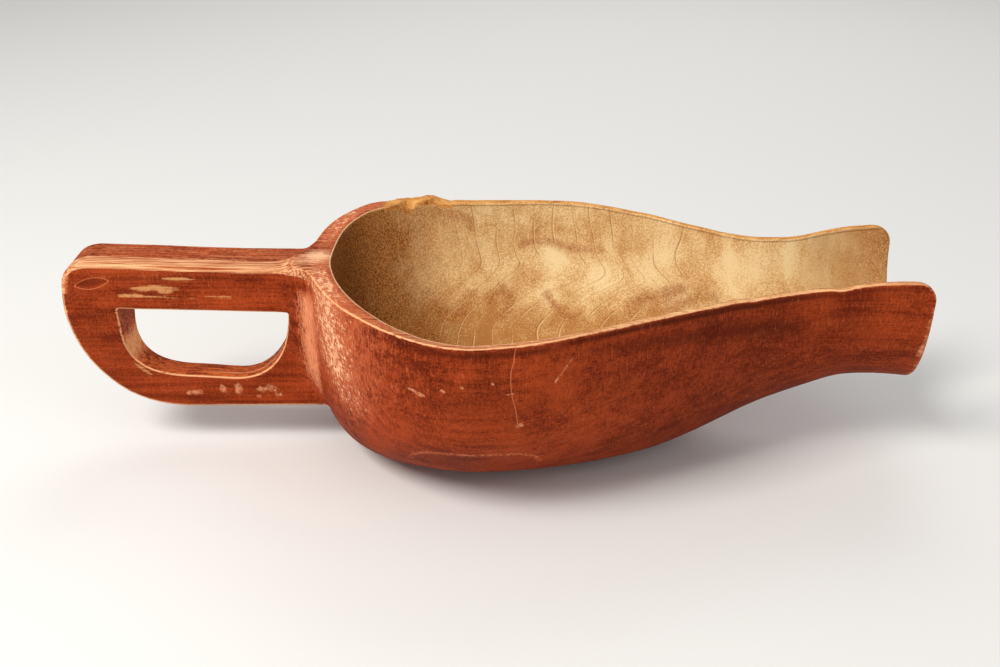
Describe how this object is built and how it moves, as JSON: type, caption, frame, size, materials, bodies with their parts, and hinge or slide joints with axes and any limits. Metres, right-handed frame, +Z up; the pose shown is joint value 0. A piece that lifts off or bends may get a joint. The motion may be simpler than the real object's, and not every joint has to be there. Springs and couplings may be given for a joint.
{
  "type": "feed scoop",
  "caption": "Carved wooden feed scoop with a deep round-backed bowl tapering to an open spout, and a D-shaped loop handle in line behind it.",
  "frame": {"origin": "centre of the bowl's round back, on the flat that the scoop stands on, z = 0", "axes": "+X from the handle towards the spout's mouth, +Y across, +Z up out of the open bowl"},
  "size_m": [0.4825, 0.2234, 0.118],
  "materials": {
    "painted_wood": "worn red milk paint outside, bare maple inside and on worn edges"
  },
  "bodies": {
    "root": {"bowl": "painted_wood", "handle": "painted_wood"}
  },
  "joints": []
}
